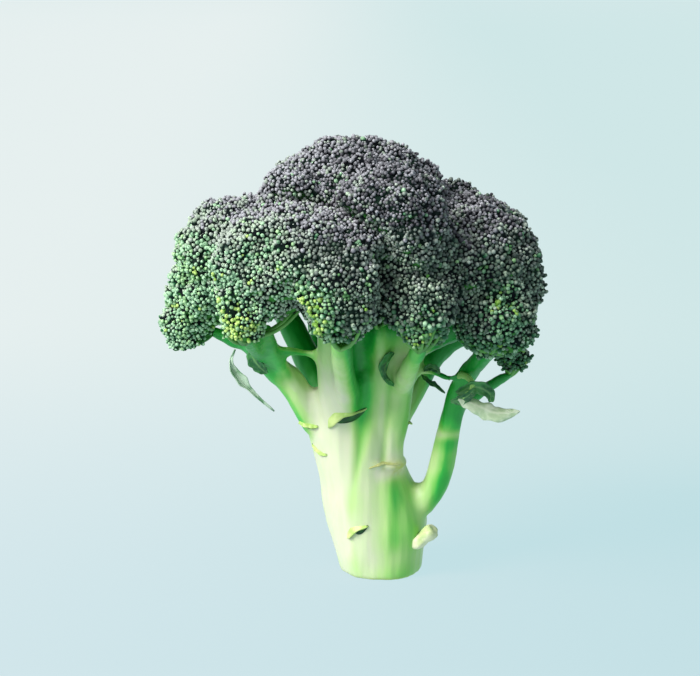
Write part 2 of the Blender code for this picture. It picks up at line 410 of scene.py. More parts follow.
def seamDepth():
    trees = [treeOf(cadMesh([name])) for name in floretNames]
    depth, soft = canopyShape["seam"]
    reach, closing = canopyShape["filled"]

    def at(place):
        near = sorted(tree.find_nearest(place)[3] for tree in trees)
        full = max(bell(partsApart(place, centre, radii), 0, reach) for centre, radii in fillLobes.values())
        return -depth * math.exp(-(near[1] - near[0]) / soft) * (1 - closing * full)
    return at


def softened(bm, times):
    for _ in range(times):
        bmesh.ops.smooth_vert(bm, verts=bm.verts, factor=0.5,
                              use_axis_x=True, use_axis_y=True, use_axis_z=True)
    bm.normal_update()


def closedSkin(name, names, shape, extra):
    # grown, fused and shrunk again, so that neighbouring solids flow into each other
    bm = bmesh.new()
    for node in names:
        part = cadMesh([node], shape["close"])
        mesh = bpy.data.meshes.new("grown")
        part.to_mesh(mesh)
        part.free()
        bm.from_mesh(mesh)
        bpy.data.meshes.remove(mesh)
    extra(bm, shape["close"])
    thing = fromMesh(name, bm)
    remesh = thing.modifiers.new("one skin", "REMESH")
    remesh.mode = "VOXEL"
    remesh.voxel_size = shape["voxel"]
    mesh = applied(thing)
    bm = bmesh.new()
    bm.from_mesh(mesh)
    softened(bm, 3)
    steps = 4
    for _ in range(steps):
        for v in bm.verts:
            v.co -= v.normal * (shape["close"] - shape["stand"]) / steps
        softened(bm, 1)
    softened(bm, shape["smoothing"])
    return thing, bm


def makeCore(materials):
    core, bm = closedSkin("canopy_core", floretNames, canopyShape, addFillLobes)
    seam = seamDepth()
    heights = [clusterHeight(v.co) + seam(v.co) + dentDepth(v.co) + frontLobeHeight(v.co) for v in bm.verts]
    for v, height in zip(bm.verts, heights):
        v.co += v.normal * height
    bm.normal_update()
    under = [smoothStep(*canopyShape["under"], v.normal.z) for v in bm.verts]
    bm.to_mesh(core.data)
    bm.free()
    setValues(core.data, "under", under)
    pieceDone(core, materials["bed"], "buds", *floretNames)
    print("core faces", len(core.data.polygons))
    return core


budding = {
    "spacing": 1.28 * mm,
    "gaps": (0.25, 85),         # how much the spacing varies, and over what scale
    "radius": 0.9 * mm,
    "sizes": (0.76, 0.44),      # the smallest, and how much more the largest has
    "heights": (0.95, 0.35),
    "widths": (0.85, 0.25),
    "uneven": 0.45 * mm,        # how much a bud stands out or sinks in
    "tries": 9,                 # candidates for each bud that fits
    "crevice": 0.07,            # bare width between small clusters, in parts of a cluster
    "bare": -0.7,               # no buds where the skin faces down more than this
    "tilt": 0.32,
    "upward": 0.12,
    "seed": 11,
}


def column(items, label, width=1, kind=float):
    values = np.empty(len(items) * width, kind)
    items.foreach_get(label, values)
    return values.reshape(-1, width) if width > 1 else values


def triangles(mesh):
    mesh.calc_loop_triangles()
    corners = column(mesh.loop_triangles, "vertices", 3, np.int32)
    return column(mesh.vertices, "co", 3)[corners], column(mesh.vertices, "normal", 3)[corners]


def candidates(mesh, rng):
    places, normals = triangles(mesh)
    areas = np.linalg.norm(np.cross(places[:, 1] - places[:, 0], places[:, 2] - places[:, 0]), axis=1) / 2
    count = int(areas.sum() / budding["spacing"] ** 2 * budding["tries"])
    chosen = rng.choice(len(areas), count, p=areas / areas.sum())
    a, b = rng.random((2, count))
    fold = a + b > 1
    a, b = np.where(fold, 1 - a, a), np.where(fold, 1 - b, b)
    weights = np.stack([1 - a - b, a, b], 1)[:, :, None]
    return (places[chosen] * weights).sum(1), (normals[chosen] * weights).sum(1)


def inCrevice(place):
    near, _ = noise.voronoi(place / canopyShape["clusters"][-1][0])
    return near[1] - near[0] < budding["crevice"]


def scatterBuds(core):
    rng = np.random.default_rng(budding["seed"])
    cell = budding["spacing"] * 1.3  # a little over the closest gap, so that only next cells matter
    taken = {}
    found = {name: [] for name in floretNames}
    owner = nearestFloret()
    around = [(i, j, k) for i in (-1, 0, 1) for j in (-1, 0, 1) for k in (-1, 0, 1)]
    places, normals = candidates(core.data, rng)
    for p, n in zip(places.tolist(), normals.tolist()):
        if n[2] < budding["bare"] or inCrevice(Vector(p)):
            continue
        vary, scale = budding["gaps"]
        gap = budding["spacing"] * (1.0 + vary * noise.noise(Vector(p) * scale))
        key = (int(p[0] // cell), int(p[1] // cell), int(p[2] // cell))
        near = (q for i, j, k in around for q in taken.get((key[0] + i, key[1] + j, key[2] + k), ()))
        if any((p[0] - q[0]) ** 2 + (p[1] - q[1]) ** 2 + (p[2] - q[2]) ** 2 < gap * gap for q in near):
            continue
        taken.setdefault(key, []).append(p)
        found[owner(Vector(p))].append((Vector(p), Vector(n).normalized(), gap))
    return found


def nearestFloret():
    spots = [(name, v.co.copy()) for name in floretNames for v in nodes[name].data.vertices]
    tree = KDTree(len(spots))
    for i, (_, spot) in enumerate(spots):
        tree.insert(spot, i)
    tree.balance()
    return lambda place: spots[tree.find(place)[1]][0]


budForm = {"sides": 6, "rings": 4, "taper": 0.12, "tall": 1.3, "dimple": 0.22}


def budShape():
    # an egg with a small dimple at its tip, point up, one unit in radius
    bm = bmesh.new()
    bmesh.ops.create_uvsphere(bm, u_segments=budForm["sides"], v_segments=budForm["rings"], radius=1.0)
    top = max(bm.verts, key=lambda v: v.co.z)
    for v in bm.verts:
        taper = 1.0 - budForm["taper"] * v.co.z
        v.co.x *= taper
        v.co.y *= taper
        v.co.z *= budForm["tall"]
    top.co.z -= budForm["dimple"]
    bud = fromMesh("bud", bm)
    mesh = bud.data
    mesh.shade_smooth()
    values = []
    for v in mesh.vertices:
        dimple = math.hypot(v.co.x, v.co.y) < 0.05 and v.co.z > 0
        values.append(1.0 if dimple else 0.5 + v.co.z / 2.75)
    setValues(mesh, "budTip", values)
    layer = mesh.uv_layers.new(name="OFBake")
    share = 0.42 / 1.1  # less than half a cell of the bud map, for a bud's greatest radius
    for loop in mesh.loops:
        v = mesh.vertices[loop.vertex_index]
        layer.uv[loop.index].vector = (0.5 + v.co.x * share, values[loop.vertex_index])
    return bud


def budGrower(bud):
    # stands a bud on every point, turned and sized by the point's attributes
    tree = bpy.data.node_groups.new("grow buds", "GeometryNodeTree")
    tree.interface.new_socket("Geometry", in_out="INPUT", socket_type="NodeSocketGeometry")
    tree.interface.new_socket("Geometry", in_out="OUTPUT", socket_type="NodeSocketGeometry")
    start, end, info, place, turn, size, asTurn, real = (tree.nodes.new(kind) for kind in (
        "NodeGroupInput", "NodeGroupOutput", "GeometryNodeObjectInfo", "GeometryNodeInstanceOnPoints",
        "GeometryNodeInputNamedAttribute", "GeometryNodeInputNamedAttribute",
        "FunctionNodeEulerToRotation", "GeometryNodeRealizeInstances"))
    info.inputs["Object"].default_value = bud
    for node, name in ((turn, "turn"), (size, "size")):
        node.data_type = "FLOAT_VECTOR"
        node.inputs["Name"].default_value = name
    for source, output, target, socket in (
            (start, "Geometry", place, "Points"), (info, "Geometry", place, "Instance"),
            (turn, "Attribute", asTurn, "Euler"), (asTurn, "Rotation", place, "Rotation"),
            (size, "Attribute", place, "Scale"), (place, "Instances", real, "Geometry"),
            (real, "Geometry", end, "Geometry")):
        tree.links.new(source.outputs[output], target.inputs[socket])
    return tree


freshPatches = {
    # places where the buds are yellow-green: centre in mm, reach in mm, strength
    "front left, high": ((-49, -68, 158), 13, 0.6),
    "front left, low": ((-58, -68, 122), 12, 1.0),
    "front centre, low left": ((-30, -76, 124), 11, 1.0),
    "front cleft": ((-33, -74, 134), 9, 0.7),
    "front right, low": ((14, -70, 116), 13, 0.55),
    "right, low": ((50, -46, 127), 8, 1.1),
    "left side": ((-84, -18, 140), 16, 0.25),
    "left, low": ((-84, -20, 112), 7, 0.3),
}


freshness = {
    # 0 is a purple-grey bud, 1 a yellow-green one; spans in mm or in the slope of the skin
    "base": 0.34,
    "crown": {"less": 0.30, "up": (138, 174), "slope": 14},
    "hem": {"more": 0.24, "up": (130, 106)},
    "left": {"more": 0.26, "across": (-46, -74), "slope": (0.8, 0.0), "up": (96, 130)},
    "patches": 0.55,
    "broad": {"more": 0.22, "scale": 110, "above": 0.25},
    "spots": {"more": 0.45, "scale": 230, "between": (0.42, 0.60)},
    "strays": {"chance": 0.006, "more": 0.5},
    "spread": 0.05,
}


def budKind(place, normal, rng):
    # fresher towards the hems and on the left, purple-grey on top
    crown, hem, left = parts(freshness, "crown", "hem", "left")
    broad, spots, strays = parts(freshness, "broad", "spots", "strays")
    height = place.z / mm
    kind = freshness["base"] - crown["less"] * smoothStep(*crown["up"], height + crown["slope"] * normal.z)
    kind += hem["more"] * smoothStep(*hem["up"], height) * (1 - max(0.0, normal.z))
    side = smoothStep(*left["across"], place.x / mm) * smoothStep(*left["slope"], normal.z)
    kind += left["more"] * side * smoothStep(*left["up"], height)
    for centre, reach, strength in freshPatches.values():
        apart = (place / mm - Vector(centre)).length
        if apart < 2 * reach:
            fade = math.exp(-(apart / reach) ** 2)
            kind += freshness["patches"] * strength * fade * (0.35 + 1.3 * rng.random())
    kind += broad["more"] * max(0.0, noise.noise(place * broad["scale"] + Vector((7, 3, 1))) - broad["above"])
    kind += spots["more"] * smoothStep(*spots["between"], noise.noise(place * spots["scale"]))
    if rng.random() < strays["chance"]:
        kind += strays["more"]
    return min(1.0, max(0.0, kind + rng.normal(0, freshness["spread"])))


bakeGrid = {"tones": 16, "kinds": 8}  # the bud map: a column for each tone, a row for each kind

waxAndPaintedLight = {
    # how pale a bud's tip is: painted light, more on the left and on top, less on the right, with random
    # patches
    "base": 0.33,
    "left": (0.55, -14 * mm, -54 * mm),
    "right": (0.18, -20 * mm, 50 * mm),
    "top": (0.32, 0.3, 0.9),
    "patchy": (0.40, 120),
    "spread": 0.26,
}


def budTone(place, normal, rng):
    (left, *leftSpan), (right, *rightSpan), (top, *slopes) = parts(waxAndPaintedLight, "left", "right", "top")
    # lit is painted light: brighter tips on the left and on top, darker on the right
    lit = waxAndPaintedLight["base"] + left * smoothStep(*leftSpan, place.x) - right * smoothStep(*rightSpan, place.x)
    lit += top * smoothStep(*slopes, normal.z)
    lit += waxAndPaintedLight["patchy"][0] * noise.noise(place * waxAndPaintedLight["patchy"][1])
    return int(min(0.999, max(0.0, rng.normal(lit, waxAndPaintedLight["spread"]))) * bakeGrid["tones"])


def floretBuds(name, seeds, grower, materials):
    rng = np.random.default_rng(len(name) * 97 + len(seeds))
    bm = bmesh.new()
    rows = []
    steps = bakeGrid["kinds"] - 3
    for place, normal, gap in seeds:
        bm.verts.new(place + normal * rng.normal(0, budding["uneven"]))
        lean = Vector(rng.normal(0, budding["tilt"], 3).tolist())
        up = (normal + lean + Vector((0, 0, budding["upward"]))).normalized()
        turn = up.to_track_quat("Z", "Y") @ Quaternion((0, 0, 1), rng.random() * math.tau)
        size = budding["radius"] * gap / budding["spacing"] * between(budding["sizes"], rng.random())
        tall = size * between(budding["heights"], rng.random())
        kind = round(budKind(place, normal, rng) * steps) / steps
        tone = budTone(place, normal, rng)
        wide = size * between(budding["widths"], rng.random())
        rows.append((turn.to_euler(), (size, wide, tall), kind, tone))
    spots = fromMesh(name + "_buds", bm)
    for label, column in (("turn", 0), ("size", 1)):
        layer = spots.data.attributes.new(label, "FLOAT_VECTOR", "POINT")
        layer.data.foreach_set("vector", [x for r in rows for x in r[column]])
    setValues(spots.data, "budKind", [r[2] for r in rows])
    setValues(spots.data, "budTone", [r[3] / (bakeGrid["tones"] - 1) for r in rows])
    setValues(spots.data, "budRing", [float(r[3] % 2) for r in rows])
    step = spots.modifiers.new("buds", "NODES")
    step.node_group = grower
    grown = applied(spots)
    for label in ("turn", "size"):
        if label in grown.attributes:
            grown.attributes.remove(grown.attributes[label])
    layBudMap(grown)
    pieceDone(spots, materials["bud"], "buds", name)


def layBudMap(mesh):
    # each bud's faces lie in the cell of its kind and tone
    vertex = column(mesh.loops, "vertex_index", 1, np.int32)
    kind = column(mesh.attributes["budKind"].data, "value")
    tone = column(mesh.attributes["budTone"].data, "value")
    layer = mesh.uv_layers["OFBake"]
    uv = column(layer.uv, "vector", 2)
    columns, rows = bakeGrid["tones"], bakeGrid["kinds"]
    uv[:, 0] = (np.round(tone[vertex] * (columns - 1)) + uv[:, 0]) / columns
    uv[:, 1] = (np.round(kind[vertex] * (rows - 3)) + 0.04 + 0.92 * uv[:, 1]) / rows
    layer.uv.foreach_set("vector", uv.ravel())


def makeFlorets(materials):
    core = makeCore(materials)
    seeds = scatterBuds(core)
    print("buds", sum(len(s) for s in seeds.values()))
    bud = budShape()
    grower = budGrower(bud)
    for name in floretNames:
        floretBuds(name, seeds[name], grower, materials)
    bpy.data.objects.remove(bud)
    bpy.data.node_groups.remove(grower)
    return core


# stalk and branches, grown as one skin

stalkShape = {
    "voxel": 0.95 * mm,
    "close": 2.0 * mm,
    "stand": 0.35 * mm,
    "smoothing": 5,
    "names": [n for n in nodes if n == "main_stalk" or n.endswith(("_branch", "_stem", "_shoot", "_twig"))],
    "thinned": "front_left_stem",   # grown as the last, slender rib instead
    # ribs that carry the trunk's full width up under the head: radius and centre, in mm
    "ribs": [[(7.5, (-16, -9, 58)), (8.6, (-18.5, -11, 78)), (8.8, (-19, -18, 96)), (8.4, (-19, -30, 113))],
             [(5, (-4, -10, 60)), (5.6, (-2.6, -11, 80)), (6, (-2.2, -17, 97)), (6, (-2, -28, 113))],
             [(6, (3.5, -9, 52)), (5.2, (4.2, -11, 70)), (5.2, (6.6, -13, 84)), (7.2, (8, -15.5, 93)),
              (6.4, (9, -18, 102)), (6, (10, -24, 112))],
             [(3.2, (-41, -9, 90)), (2.6, (-46, -26, 104)), (2.2, (-48, -42, 116))]],
    "ribStep": 2.2 * mm,
    "ribEase": 0.4,                 # how gently one ball of a rib runs into the next
}


def addRibs(bm, close):
    ease = stalkShape["ribEase"]
    for rib in stalkShape["ribs"]:
        for (startRadius, start), (endRadius, end) in zip(rib, rib[1:]):
            start, end = Vector(start) * mm, Vector(end) * mm
            count = max(2, round((end - start).length / stalkShape["ribStep"]))
            for i in range(count):
                t = smoothStep(0, 1, i / count) * ease + (1 - ease) * i / count
                radius = (startRadius + (endRadius - startRadius) * t) * mm + close
                bmesh.ops.create_icosphere(bm, subdivisions=2, radius=radius,
                                           matrix=Matrix.Translation(start.lerp(end, t)))


def makeStalk(materials):
    grown = [n for n in stalkShape["names"] if n != stalkShape["thinned"]]
    skin, bm = closedSkin("stalk_skin", grown, stalkShape, addRibs)
    mesh = skin.data
    details = [stalkDetail(v.co, v.normal) for v in bm.verts]
    for v, (_, move, _) in zip(bm.verts, details):
        v.co += v.normal * move
        v.co.z = max(v.co.z, 0.0)
    bm.normal_update()
    bm.to_mesh(mesh)
    for label, column in (("green", 0), ("scar", 2)):
        setValues(mesh, label, [d[column] for d in details])
    pieceDone(skin, materials["stalk"], "stalk", *stalkShape["names"])
    print("stalk faces", len(mesh.polygons))
    return treeOf(bm)


# scale across and along the trunk, offset, how far it lifts the skin, how much greener it makes it
stalkGrain = {
    "stripes": (0.16, 0.012, (3, 1, 4), 0.5 * mm, 0.14),
    "ribs": (0.42, 0.02, (0, 0, 0), 0.25 * mm, 0.0),
    "lumps": (0.07, 0.07, (0, 0, 0), 0.5 * mm, 0.1),
}

nearFace = ("y", 2, -6)
onShoot = ("x", 18, 25)
onBranch = ("x", -27, -34)

# how much greener, then where: spans from none to full and bells with a centre and a width,
# along x, y and z in mm or the skin's facing to the right (nx) and up (nz)
stalkZones = {
    "over the branches": (0.12, [("z", 54, 70)]),
    "near the head": (0.27, [("z", 80, 112)]),
    # partly painted shade: greener and darker close under the head
    "under the head": (0.18, [("z", 100, 116)]),
    "foot": (0.10, [("z", 12, 2)]),
    # painted shade: greener and darker on the side turned away from the light
    "facing right": (0.16, [("nx", -0.1, 0.7)]),
    # partly painted shade: greener and darker on the back, where the back branches stand in shade
    "back": (0.12, [("y", 0, 12)]),
    "back, high": (0.55, [("y", -2, 9), ("z", 40, 92)]),
    # painted light: paler on the near left where the light falls, and up the left rib under the head's shadow
    "pale left half": (-0.16, [nearFace, ("x", -12, -20), ("z", 100, 70)]),
    "pale left rib": (-0.16, [nearFace, ("z", 66, 78)], ("x", -20, 7)),
    "right column, high": (0.16, [nearFace, ("x", 0, 6), ("z", 54, 60)]),
    "right column, low": (0.20, [nearFace, ("x", -7, -1), ("z", 50, 42)]),
    "green stripe, low": (0.24, [nearFace, ("x", -7, -1), ("z", 50, 42), ("z", 8, 20)], ("x", 5.5, 2.8)),
    "pale under the ring": (-0.22, [nearFace, ("x", -5, 0), ("x", 16, 12)], ("z", 47.5, 3.6)),
    "shoot": (0.22, [onShoot]),
    "shoot, high": (0.36, [onShoot, ("z", 64, 74)]),
    "shoot's pale ring": (-0.36, [onShoot], ("z", 63.5, 2.0)),
    "shoot's near side": (0.30, [onShoot, ("z", 70, 60)], ("nx", 0.1, 0.4)),
    # painted shade: the left branch darker underneath
    "branch, underside": (0.40, [onBranch, ("nz", 0.2, -0.5)]),
    "branch, outside": (0.26, [onBranch, ("nx", -0.3, -0.8)]),
    # partly painted shade: the far end of the left branch darker under the lobe's hem
    "branch, far end": (0.30, [("x", -44, -54)]),
}

stalkMarks = {
    "shade": 0.08,
    # the long front flute, wide under the head and fading out low on the trunk; its green darkens the groove,
    # partly as painted shade
    "flute": {"x": -8.8, "bend": -4.5, "bent": (70, 28), "width": 1.8, "flare": 4.4, "flared": (45, 100),
              "faint": 0.16, "full": (36, 84), "start": (22, 34), "deep": 2.0 * mm, "green": 0.62},
    # the crease down the left of the right column, darker green in it, partly as painted shade
    "crease": {"x": 0.5, "z": 52, "lean": 0.06, "width": 1.3, "start": (46, 56), "end": (98, 86),
               "deep": 0.9 * mm, "green": 0.22},
    # the ring of an old leaf across the right column, and the cut in it
    "ring": {"x": 4, "z": 50.5, "sag": 0.02, "width": 1.5, "left": (-6, -1), "right": (16, 12),
             "out": 1.3 * mm, "scar": 0.8, "scale": 420, "broken": (-0.25, 0.35)},
    "cut": {"centre": (5.5, 49.2), "width": 3.8, "out": 0.8 * mm, "scar": (0.6, 0.7), "scale": 600},
    # the pale knob where the right branch was cut, under the head, and the scarred rim of the foot
    "knob": {"centre": (10, -30, 99), "width": 13, "green": -0.34, "tip": (9, -22, 99), "tipWidth": 2.2},
    "foot": (1.5, 0.4),
    "scar": 0.5,
}


def stalkDetail(place, normal):
    # how green the skin is here, how far it stands out, and how scarred
    x, y, z = place / mm
    at = {"x": x, "y": y, "z": z, "nx": normal.x, "nz": normal.z}
    move, shade = 0.0, stalkMarks["shade"]
    for across, along, offset, lift, green in stalkGrain.values():
        grain = noise.noise(Vector((x * across, y * across, z * along)) + Vector(offset))
        move += lift * grain
        shade += green * grain
    for green, spans, *bells in stalkZones.values():
        for axis, low, high in spans:
            green *= smoothStep(low, high, at[axis])
        for axis, centre, width in bells:
            green *= bell(at[axis], centre, width)
        shade += green
    flute, crease, ring, cut, knob = parts(stalkMarks, "flute", "crease", "ring", "cut", "knob")
    front = smoothStep(*nearFace[1:], y)
    centre = flute["x"] + flute["bend"] * smoothStep(*flute["bent"], z)
    width = flute["width"] + flute["flare"] * smoothStep(*flute["flared"], z)
    groove = front * bell(x, centre, width) * smoothStep(*flute["start"], z)
    groove *= flute["faint"] + (1 - flute["faint"]) * smoothStep(*flute["full"], z)
    line = front * bell(x, crease["x"] + crease["lean"] * (z - crease["z"]), crease["width"])
    line *= smoothStep(*crease["start"], z) * smoothStep(*crease["end"], z)
    rim = front * bell(z, ring["z"] + ring["sag"] * (x - ring["x"]) ** 2, ring["width"])
    rim *= smoothStep(*ring["left"], x) * smoothStep(*ring["right"], x)
    wound = front * bell(math.dist((x, z), cut["centre"]), 0, cut["width"])
    move += ring["out"] * rim + cut["out"] * wound - flute["deep"] * groove - crease["deep"] * line
    # the flute and crease greens darken the grooves, partly as painted shade
    shade += flute["green"] * groove + crease["green"] * line
    shade += knob["green"] * bell((place / mm - Vector(knob["centre"])).length, 0, knob["width"])
    scar = ring["scar"] * rim * smoothStep(*ring["broken"], noise.noise(place * ring["scale"]))
    scar += wound * between(cut["scar"], noise.noise(place * cut["scale"]))
    tip = bell((place / mm - Vector(knob["tip"])).length, 0, knob["tipWidth"])
    scar += stalkMarks["scar"] * (tip + smoothStep(*stalkMarks["foot"], z))
    return max(0.0, min(1.0, shade)), move, min(1.0, scar)


# leaves, bracts and the torn bases of cut leaves

# route of the midrib and half widths in mm, the side that faces up, cup, wave and look
leafShapes = {
    "side_leaf": {
        "route": [(31.5, -33, 84.6), (36, -34, 83), (42, -35, 80.6), (48, -36, 78.8), (57, -36, 79.6)],
        "widths": [1.0, 2.9, 3.7, 3.6, 0.25], "face": (0.15, -0.8, 0.75), "cup": -0.8, "wave": 0.55,
        "look": "pale leaf"},
    # the curl and fold of the side leaf take the dark look: painted shade inside the curl
    "side_leaf_curl": {
        "route": [(31, -31, 86), (35, -32, 88.5), (40, -32, 89), (44.5, -31, 86), (45, -31, 82.5)],
        "widths": [1.4, 2.4, 2.8, 2.2, 0.8], "face": (0.2, -1, 0.1), "cup": 1.4, "wave": 0.7,
        "look": "dark leaf", "node": "side_leaf"},
    "side_leaf_fold": {
        "route": [(28.5, -31, 83), (32, -33, 84), (36, -34, 86.5), (38, -33, 89)],
        "widths": [0.8, 2.2, 1.9, 0.4], "face": (-0.2, -0.9, -0.3), "cup": 1.2, "wave": 0.3,
        "look": "dark leaf", "node": "side_leaf"},
    "hanging_leaf": {
        "route": [(-62, -26, 104), (-63.6, -27, 100), (-63.4, -27.6, 96), (-60, -28.5, 91.4),
                  (-56.6, -29, 87.8), (-51.6, -30, 83.4), (-45.6, -30, 78.2)],
        "widths": [0.55, 0.6, 1.7, 2.5, 1.5, 0.8, 0.25], "face": (0.5, -0.8, 0.35), "cup": 1.3, "wave": 0.4,
        "look": "mixed leaf"},
    "left_bract": {
        "route": [(-49, -15.5, 91.5), (-52, -17, 94.5), (-54.6, -17.5, 98.5), (-55, -17.5, 103)],
        "widths": [0.7, 2.6, 2.8, 1.2], "face": (-0.35, -0.9, 0.2), "cup": 0.9, "wave": 0.4,
        "look": "dark leaf"},
    "right_bract": {
        "route": [(6.6, -20, 86), (2.6, -22.2, 90.5), (1.2, -24.2, 95), (3.0, -26.6, 100.5), (4.6, -28, 103)],
        "widths": [0.4, 1.3, 2.0, 1.9, 0.8], "face": (-0.6, -0.75, 0.1), "cup": 2.2, "wave": 0.4,
        "look": "bract leaf"},
    "twig_leaflet": {
        "route": [(16.5, -20, 91.5), (19, -24, 89.5), (22, -26, 88), (26, -28, 85.5)],
        "widths": [0.5, 1.4, 1.5, 0.2], "face": (0.2, -0.5, 1), "cup": 0.8, "wave": 0.3,
        "look": "dark leaf"},
    "twig_tuft": {
        "route": [(17.5, -18, 93.4), (20, -20, 95), (22.6, -21, 94.2), (24, -21, 92.2)],
        "widths": [0.7, 1.5, 1.4, 0.5], "face": (0, -1, 0.2), "cup": 0.8, "wave": 0.4,
        "look": "dark leaf", "node": "twig_leaflet"},
}

# line of the scar on the trunk; how far the lip reaches above it, hangs below it and stands out, in mm;
# the slit under the lip: its start and end along the line, and its height
# the slit under each lip holds a dark sheet that paints the shade inside it
flapShapes = {
    "front_leaf_base": {
        "line": [(-27.5, -22, 69), (-23, -22, 71.2), (-17, -22, 73.4), (-10.5, -22, 75), (-4.2, -22, 76.2)],
        "rise": [3.0, 4.8, 2.6, 0.7, 0.4], "drop": [1.6, 2.6, 0.2, 0.1, 0.1], "out": 1.2,
        "gap": (0.28, 1.0, 4.2)},
    "low_leaf_base": {
        "line": [(-20, -21, 19.6), (-16.5, -21, 21), (-12, -21, 23), (-6.2, -21, 25.2)],
        "rise": [2.0, 3.4, 2.2, 0.6], "drop": [1.0, 1.8, 0.3, 0.1], "out": 1.6, "gap": (0.55, 1.0, 2.9)},
    "left_leaf_base": {
        "line": [(-33, -4, 57.4), (-31, -8, 55.8), (-28, -12, 54.6), (-25.5, -15.5, 55)],
        "rise": [0.8, 1.4, 1.4, 0.8], "drop": [0.2, 0.3, 0.3, 0.2], "out": 1.2, "gap": (0.0, 1.0, 1.3)},
    "ring_leaf_base": {
        "line": [(-5, -21, 50.4), (0, -21, 51.6), (5, -21, 52), (11, -17, 51.2)],
        "rise": [0.5, 1.0, 1.2, 0.8], "drop": [0.1, 0.3, 0.3, 0.1], "out": 0.7, "gap": (0.35, 0.95, 0.8),
        "lip": "scarred", "inside": "scarred"},
    "high_left_nub": {
        "line": [(-31.5, -5, 68), (-31, -9, 66.6), (-29, -12, 66.8)],
        "rise": [0.8, 1.6, 0.6], "drop": [0.2, 0.3, 0.2], "out": 1.6, "gap": (0.0, 1.0, 1.6),
        "node": "left_leaf_base"},
    "right_nub": {
        "line": [(10, -12, 69), (12, -9, 68.2), (12.5, -5, 68.8)],
        "rise": [0.7, 1.5, 0.6], "drop": [0.2, 0.5, 0.2], "out": 1.8, "gap": (0.0, 1.0, 1.4),
        "node": "ring_leaf_base"},
}

# each look's dark and pale patches and its ribs
leafPaint = {
    "pale leaf": [(0.44, 0.58, 0.34), (0.72, 0.80, 0.60), (0.80, 0.86, 0.66)],
    "mixed leaf": [(0.10, 0.26, 0.12), (0.42, 0.56, 0.42), (0.50, 0.62, 0.46)],
    "dark leaf": [(0.012, 0.10, 0.035), (0.06, 0.26, 0.07), (0.20, 0.42, 0.14)],
    "bract leaf": [(0.008, 0.11, 0.02), (0.05, 0.34, 0.06), (0.26, 0.56, 0.16)],
    "flap": [(0.38, 0.58, 0.13), (0.60, 0.72, 0.26), (0.70, 0.78, 0.38)],
    "scarred": [(0.36, 0.37, 0.10), (0.60, 0.62, 0.28), (0.55, 0.58, 0.25)],
    # the gap look is a near-black green, painted shade inside the slits
    "gap": [(0.002, 0.045, 0.008), (0.006, 0.13, 0.010), (0.02, 0.16, 0.02)],
    "cut stump": [(0.55, 0.66, 0.30), (0.76, 0.78, 0.50), (0.7, 0.7, 0.45)],
}


def routeAt(points, t):
    # a smooth curve through the points
    span = t * (len(points) - 1)
    i = min(int(span), len(points) - 2)
    f = span - i
    p1, p2 = points[i], points[i + 1]
    p0 = points[i - 1] if i else p1 * 2 - p2
    p3 = points[i + 2] if i + 2 < len(points) else p2 * 2 - p1
    return 0.5 * (2 * p1 + (p2 - p0) * f + (2 * p0 - 5 * p1 + 4 * p2 - p3) * f ** 2
                  + (3 * p1 - p0 - 3 * p2 + p3) * f ** 3)


def amountAt(values, t):
    return routeAt([Vector((v, 0, 0)) for v in values], t).x


veining = {"rib": 0.16, "pairs": 5, "sweep": 1.1, "side": 0.14, "faint": 0.5}


def makeSheet(name, form, place, look, slot, node):
    bm = bmesh.new()
    along, across = form["grid"]
    bmesh.ops.create_grid(bm, x_segments=along, y_segments=across, size=1.0)
    vein = bm.verts.layers.float.new("vein")
    for v in bm.verts:
        u, w = (v.co.x + 1) / 2, v.co.y
        rib = max(0.0, 1 - abs(w) / veining["rib"])
        branch = (u * veining["pairs"] - abs(w) * veining["sweep"]) % 1.0
        v[vein] = max(rib, max(0.0, 1 - abs(branch - 0.5) / veining["side"]) * veining["faint"])
        v.co = place(u, w)
    bm.normal_update()
    bmesh.ops.solidify(bm, geom=bm.faces, thickness=form["thick"])
    bm.normal_update()
    if bm.calc_volume(signed=True) < 0:
        bmesh.ops.reverse_faces(bm, faces=bm.faces)
    pieceDone(fromMesh(name, bm), look, slot, node)


bladeForm = {"grid": (28, 8), "thick": 0.35 * mm, "waves": 17, "teeth": 31, "toothDepth": 0.10}


def makeLeaf(name, shape, materials):
    points = [Vector(p) * mm for p in shape["route"]]
    up = Vector(shape["face"]).normalized()

    def place(u, w):
        ahead = (routeAt(points, min(1.0, u + 0.02)) - routeAt(points, max(0.0, u - 0.02))).normalized()
        side = ahead.cross(up).normalized()
        lift = side.cross(ahead)
        wide = max(0.1, amountAt(shape["widths"], u)) * mm
        ruffle = shape["wave"] * math.sin(u * bladeForm["waves"] + 2 * w) * abs(w) * mm
        jag = 1.0 + bladeForm["toothDepth"] * math.sin(u * bladeForm["teeth"] + 3 * w) * abs(w)
        rise = shape["cup"] * w * w * wide * 0.5 + ruffle
        return routeAt(points, u) + side * wide * w * jag + lift * rise
    makeSheet(name + "_blade", bladeForm, place, materials[shape["look"]], "leaf", shape.get("node", name))


flapForm = {
    "lip": {"grid": (24, 5), "thick": 0.45 * mm, "ends": 0.25, "blunt": 0.5, "curl": 0.8,
            "ruffle": (0.15, 23), "sunk": 0.45},
    "slit": {"grid": (20, 3), "thick": 0.25 * mm, "ends": 0.12, "blunt": 0.6, "inset": 0.03,
             "top": 0.5, "proud": 0.25 * mm},
    "lean": (-13 * mm, 5 * mm, 66 * mm),   # how far the trunk's middle moves left, between these heights
    "flatten": 0.25,
}


